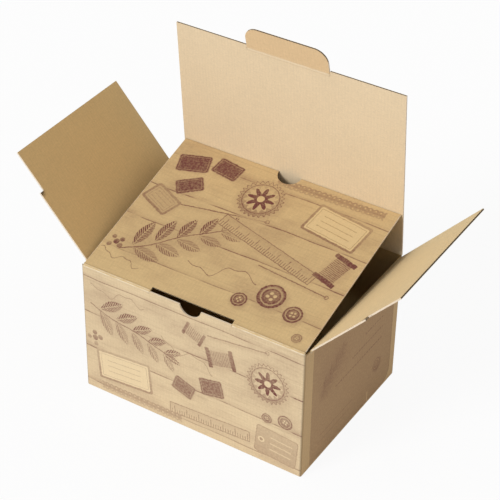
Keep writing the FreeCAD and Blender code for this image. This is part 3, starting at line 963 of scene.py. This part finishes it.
def makeCrease(name, node, fold, line, panelWay, flapWay, span, look):
    # section of the crushed board across the hinge line, outside of the bend first, then drawn along it
    panelOut = squareTo(panelWay, flapWay)
    flapOut = squareTo(flapWay, panelWay)
    hinge = hinges[node] / millimetre
    start = hinge + line * (span[0] - hinge.dot(line))
    faceHeight = halfBoard - 0.01
    above = [(look["reach"], faceHeight), (look["shoulder"], look["shoulderHeight"])]
    below = [(look["reach"], -faceHeight),
             (look["bendReach"] + 0.2, (halfBoard + board["creaseThickness"]) / -2)]
    mesh = bmesh.new()

    def points(way, out, section):
        return [mesh.verts.new(start + way * along + out * height) for along, height in section]

    ring = points(panelWay, panelOut, above)
    bend = mesh.verts.new(start + panelOut * look["roundHeight"])
    turn = panelOut.angle(flapOut) * (1 if panelOut.cross(flapOut).dot(line) > 0 else -1)
    bmesh.ops.spin(mesh, geom=[bend], cent=start, axis=line, angle=turn, steps=look["cornerSteps"])
    mesh.verts.ensure_lookup_table()
    ring += list(mesh.verts)[2:]
    ring += points(flapWay, flapOut, above[::-1] + below)
    ring.append(mesh.verts.new(start + (panelWay + flapWay).normalized() * look["hollow"]))
    ring += points(panelWay, panelOut, below[::-1])
    bmesh.ops.delete(mesh, geom=list(mesh.edges), context="EDGES")
    ring = [vertex for vertex in ring if vertex.is_valid]
    drawn = bmesh.ops.extrude_face_region(mesh, geom=[mesh.faces.new(ring)])["geom"]
    length = span[1] - span[0]
    farRing = [part for part in drawn if isinstance(part, bmesh.types.BMVert)]
    bmesh.ops.translate(mesh, verts=farRing, vec=line * length)
    lengthwise = [edge for edge in mesh.edges if edge.calc_length() > length * 0.99]
    bmesh.ops.subdivide_edges(mesh, edges=lengthwise, cuts=max(2, round(length / look["pitch"])))
    bmesh.ops.recalc_face_normals(mesh, faces=list(mesh.faces))

    # uneven crushing, only where the section leaves the full board, drawn in the order of the places,
    # because the operators can leave the vertices in another order each run
    order = line * 3 + panelWay + panelOut * 0.37
    mesh.verts.sort(key=lambda vertex: vertex.co.dot(order))
    chance = random.Random(fold["seed"])
    for vertex in mesh.verts:
        away = vertex.co - start
        away -= line * away.dot(line)
        if away.length < look["reach"]:
            push = chance.uniform(-1, 1) * look["crumple"]
            vertex.co += away.normalized() * push + line * chance.uniform(-0.6, 0.6)

    # one map runs along the crease and across it in millimetres, the other is 1 on the sheet's outside,
    # which is the inside of the bend where a flap hangs outwards
    outside = -1 if flapSheets[node]["axis"] else 1
    mapLayer = mesh.loops.layers.uv.new("creaseMap")
    sideLayer = mesh.loops.layers.uv.new("creaseSide")
    for face in mesh.faces:
        for loop in face.loops:
            away = loop.vert.co - start
            across = max(0.0, away.dot(flapWay)) - max(0.0, away.dot(panelWay))
            loop[mapLayer].uv = (loop.vert.co.dot(line), across)
            nearest = panelOut if away.dot(panelWay) > away.dot(flapWay) else flapOut
            loop[sideLayer].uv = (1.0 if away.dot(nearest) * outside > 0 else 0.0, 0.0)
    bmesh.ops.scale(mesh, verts=mesh.verts, vec=(millimetre,) * 3)
    data = bpy.data.meshes.new(name)
    mesh.to_mesh(data)
    mesh.free()
    data.shade_smooth()
    crease = placeObject(name, data)
    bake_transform(crease)
    return crease


def creaseBoard(node, fold, look):
    material, tree, shader = newMaterial(node + "_crease")
    place = addNode(tree, "ShaderNodeUVMap", uv_map="creaseMap").outputs[0]
    onOutside = splitVector(tree, addNode(tree, "ShaderNodeUVMap", uv_map="creaseSide").outputs[0], 1)[0]
    along, across = splitVector(tree, place, 2)
    # the crease goes over from the panel's kraft tone to the flap's, painted shade included
    ground = mixColour(tree, ramp(tree, across, -0.8, 0.8), kraftAndShadeTones[fold["panel"]], kraftAndShadeTones[node])
    paper = useGroup(tree, kraftPaper, {"Vector": place, "Colour": ground})
    stamps = fieldPrint if flapSheets[node]["axis"] else []
    printed = printFlap(tree, node, along, across, paper["Colour"], stamps, 0.2)
    colour = mixColour(tree, ramp(tree, onOutside, 0.4, 0.6), paper["Colour"], printed)
    patches = noise(tree, stretched(tree, place, (0.09, 0.5, 1.0)), 1.0, 3, 0.65)
    worn = times(tree, ramp(tree, absolute(tree, across), 1.8, 0.2), ramp(tree, patches, 0.36, 0.58),
                 fold["worn"])
    finishBoard(tree, shader, mixColour(tree, worn, colour, look["worn"]), paper["Height"], look["bump"])
    return material


def flapWayOf(node):
    # where the flap runs from its crease
    if flapSheets[node]["axis"]:
        return Matrix.Rotation(sum(flapTurns[node]), 3, "Y") @ Vector((1, 0, 0))
    return Matrix.Rotation(sum(flapTurns[node]), 3, "X") @ Vector((0, 1, 0))


def makeCreases(folds, look):
    slotEnd = board["slotWidth"] / 2 + 0.1
    for node, fold in folds.items():
        axis = flapSheets[node]["axis"]
        line = Vector((0, 1, 0)) if axis else Vector((1, 0, 0))
        panelWay = Vector((0, 0, -1)) if fold["panel"] == "box_body" else -flapWayOf(fold["panel"])
        material = creaseBoard(node, fold, look)
        low, high = (corner[axis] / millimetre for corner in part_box(node))
        ends = [low - fold["past"], high + fold["past"]]
        if node == "front_flap":
            ends[1:1] = [-slotEnd, slotEnd]       # the tuck slot parts this crease
        for number, piece in enumerate(fold["pieces"]):
            span = ends[2 * number:2 * number + 2]
            crease = makeCrease(piece, node, fold, line, panelWay, flapWayOf(node), span, look)
            crease.data.materials.append(material)


makeCreases(creaseFolds, creaseLook)
print("creases folded")


# Floor, world and lamps: soft light from the front left, about a third of the way up.
stage = {
    "floorSize": 12.0,
    "floorDrop": 0.0003,
    "floorColour": (0.9, 0.9, 0.9, 1.0),
    "floorWhite": 0.92,
    "worldStrength": 0.5,
    "sunStrength": 1.82,
    "sunSpread": 24.0,
    "sunTowards": (-0.335, -0.789, 0.513),
}


def seenOrMirrored(tree):
    # 1 for rays from the camera and in reflections and glass, so that they meet plain white
    rays = addNode(tree, "ShaderNodeLightPath").outputs
    return highest(tree, rays["Is Camera Ray"], rays["Is Glossy Ray"], rays["Is Transmission Ray"])


def makeStage(values):
    mesh = bmesh.new()
    bmesh.ops.create_grid(mesh, x_segments=1, y_segments=1, size=values["floorSize"] / 2,
                          matrix=Matrix.Translation((0, 0, -values["floorDrop"])))
    data = bpy.data.meshes.new("floor")
    mesh.to_mesh(data)
    mesh.free()
    floor = placeObject("floor", data)
    material, tree, shader = newMaterial("floor_paper")
    shader.inputs["Base Color"].default_value = values["floorColour"]
    shader.inputs["Roughness"].default_value = 0.9
    white = addNode(tree, "ShaderNodeEmission", {"Color": plainWhite, "Strength": 1.0})
    share = times(tree, seenOrMirrored(tree), values["floorWhite"])
    mix = addNode(tree, "ShaderNodeMixShader", {0: share, 1: shader.outputs[0], 2: white.outputs[0]})
    output = next(node for node in tree.nodes if node.type == "OUTPUT_MATERIAL")
    tree.links.new(mix.outputs[0], output.inputs[0])
    data.materials.append(material)

    world = bpy.data.worlds.new("studio")
    world.use_nodes = True
    scene.world = world
    tree = world.node_tree
    tree.nodes.clear()
    strength = mixFloat(tree, seenOrMirrored(tree), values["worldStrength"], 1.0)
    background = addNode(tree, "ShaderNodeBackground", {"Color": plainWhite, "Strength": strength})
    output = tree.nodes.new("ShaderNodeOutputWorld")
    tree.links.new(background.outputs[0], output.inputs[0])

    sun = bpy.data.lights.new("window_light", "SUN")
    sun.energy = values["sunStrength"]
    sun.angle = math.radians(values["sunSpread"])
    lamp = placeObject("window_light", sun)
    lamp.rotation_euler = Vector(values["sunTowards"]).to_track_quat("Z", "Y").to_euler()


makeStage(stage)
scene.view_settings.view_transform = "Standard"
print("stage lit")
